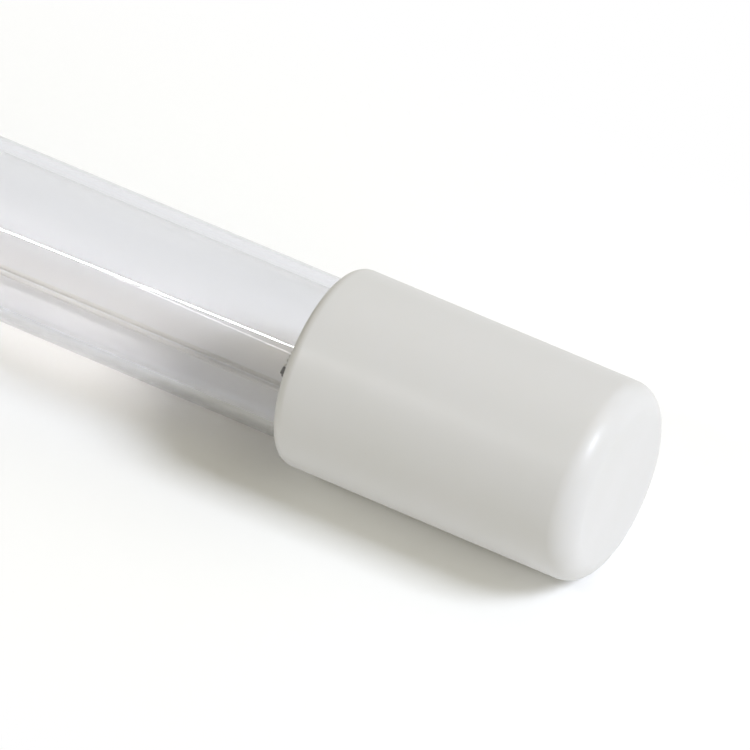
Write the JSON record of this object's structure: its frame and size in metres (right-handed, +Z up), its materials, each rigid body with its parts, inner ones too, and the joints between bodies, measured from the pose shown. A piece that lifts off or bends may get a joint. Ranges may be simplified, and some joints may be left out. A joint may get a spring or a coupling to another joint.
{
  "type": "uv lamp",
  "caption": "Straight low-pressure UV lamp: a clear quartz tube between two plain white ceramic end caps, one with contact pins, with return wires along the tube.",
  "frame": {"origin": "on the lamp's axis, at the centre of the pin rectangle on the base cap's closed face", "axes": "X along the lamp, with the pins towards -X and the plain cap towards +X; +Z up as the lamp lies in the picture"},
  "size_m": [0.219, 0.019, 0.019],
  "materials": {
    "quartz": "clear fused quartz, fire polished",
    "steatite": "smooth white fired ceramic, satin",
    "lamp_cement": "matt off-white lamp cement",
    "pin_metal": "nickel-plated, drawn",
    "foil_metal": "rolled molybdenum foil",
    "rod_metal": "drawn molybdenum rod",
    "filament_metal": "coiled tungsten with a pale emitter coat",
    "wire_metal": "drawn nickel wire",
    "sleeve": "fluoropolymer sleeve, pale and slightly waxy",
    "crimp_metal": "nickel-plated ferrule",
    "mercury": "liquid metal"
  },
  "bodies": {
    "root": {"quartz_tube": "quartz", "blank_cap": "steatite", "base_cap": "steatite", "blank_cement": "lamp_cement", "base_cement": "lamp_cement", "contact_pin_1": "pin_metal", "contact_pin_2": "pin_metal", "contact_pin_3": "pin_metal", "contact_pin_4": "pin_metal", "foil_base_1": "foil_metal", "foil_base_2": "foil_metal", "foil_blank_1": "foil_metal", "foil_blank_2": "foil_metal", "inner_lead_base_1": "rod_metal", "inner_lead_base_2": "rod_metal", "inner_lead_blank_1": "rod_metal", "inner_lead_blank_2": "rod_metal", "outer_lead_base_1": "rod_metal", "outer_lead_base_2": "rod_metal", "outer_lead_blank_1": "rod_metal", "outer_lead_blank_2": "rod_metal", "filament_base": "filament_metal", "filament_blank": "filament_metal", "pin_wire_1": "wire_metal", "pin_wire_2": "wire_metal", "return_wire_1": "wire_metal", "return_wire_2": "wire_metal", "return_sleeve_1": "sleeve", "return_sleeve_2": "sleeve", "crimp_base_1": "crimp_metal", "crimp_base_2": "crimp_metal", "crimp_blank_1": "crimp_metal", "crimp_blank_2": "crimp_metal", "mercury_bead": "mercury"}
  },
  "joints": []
}
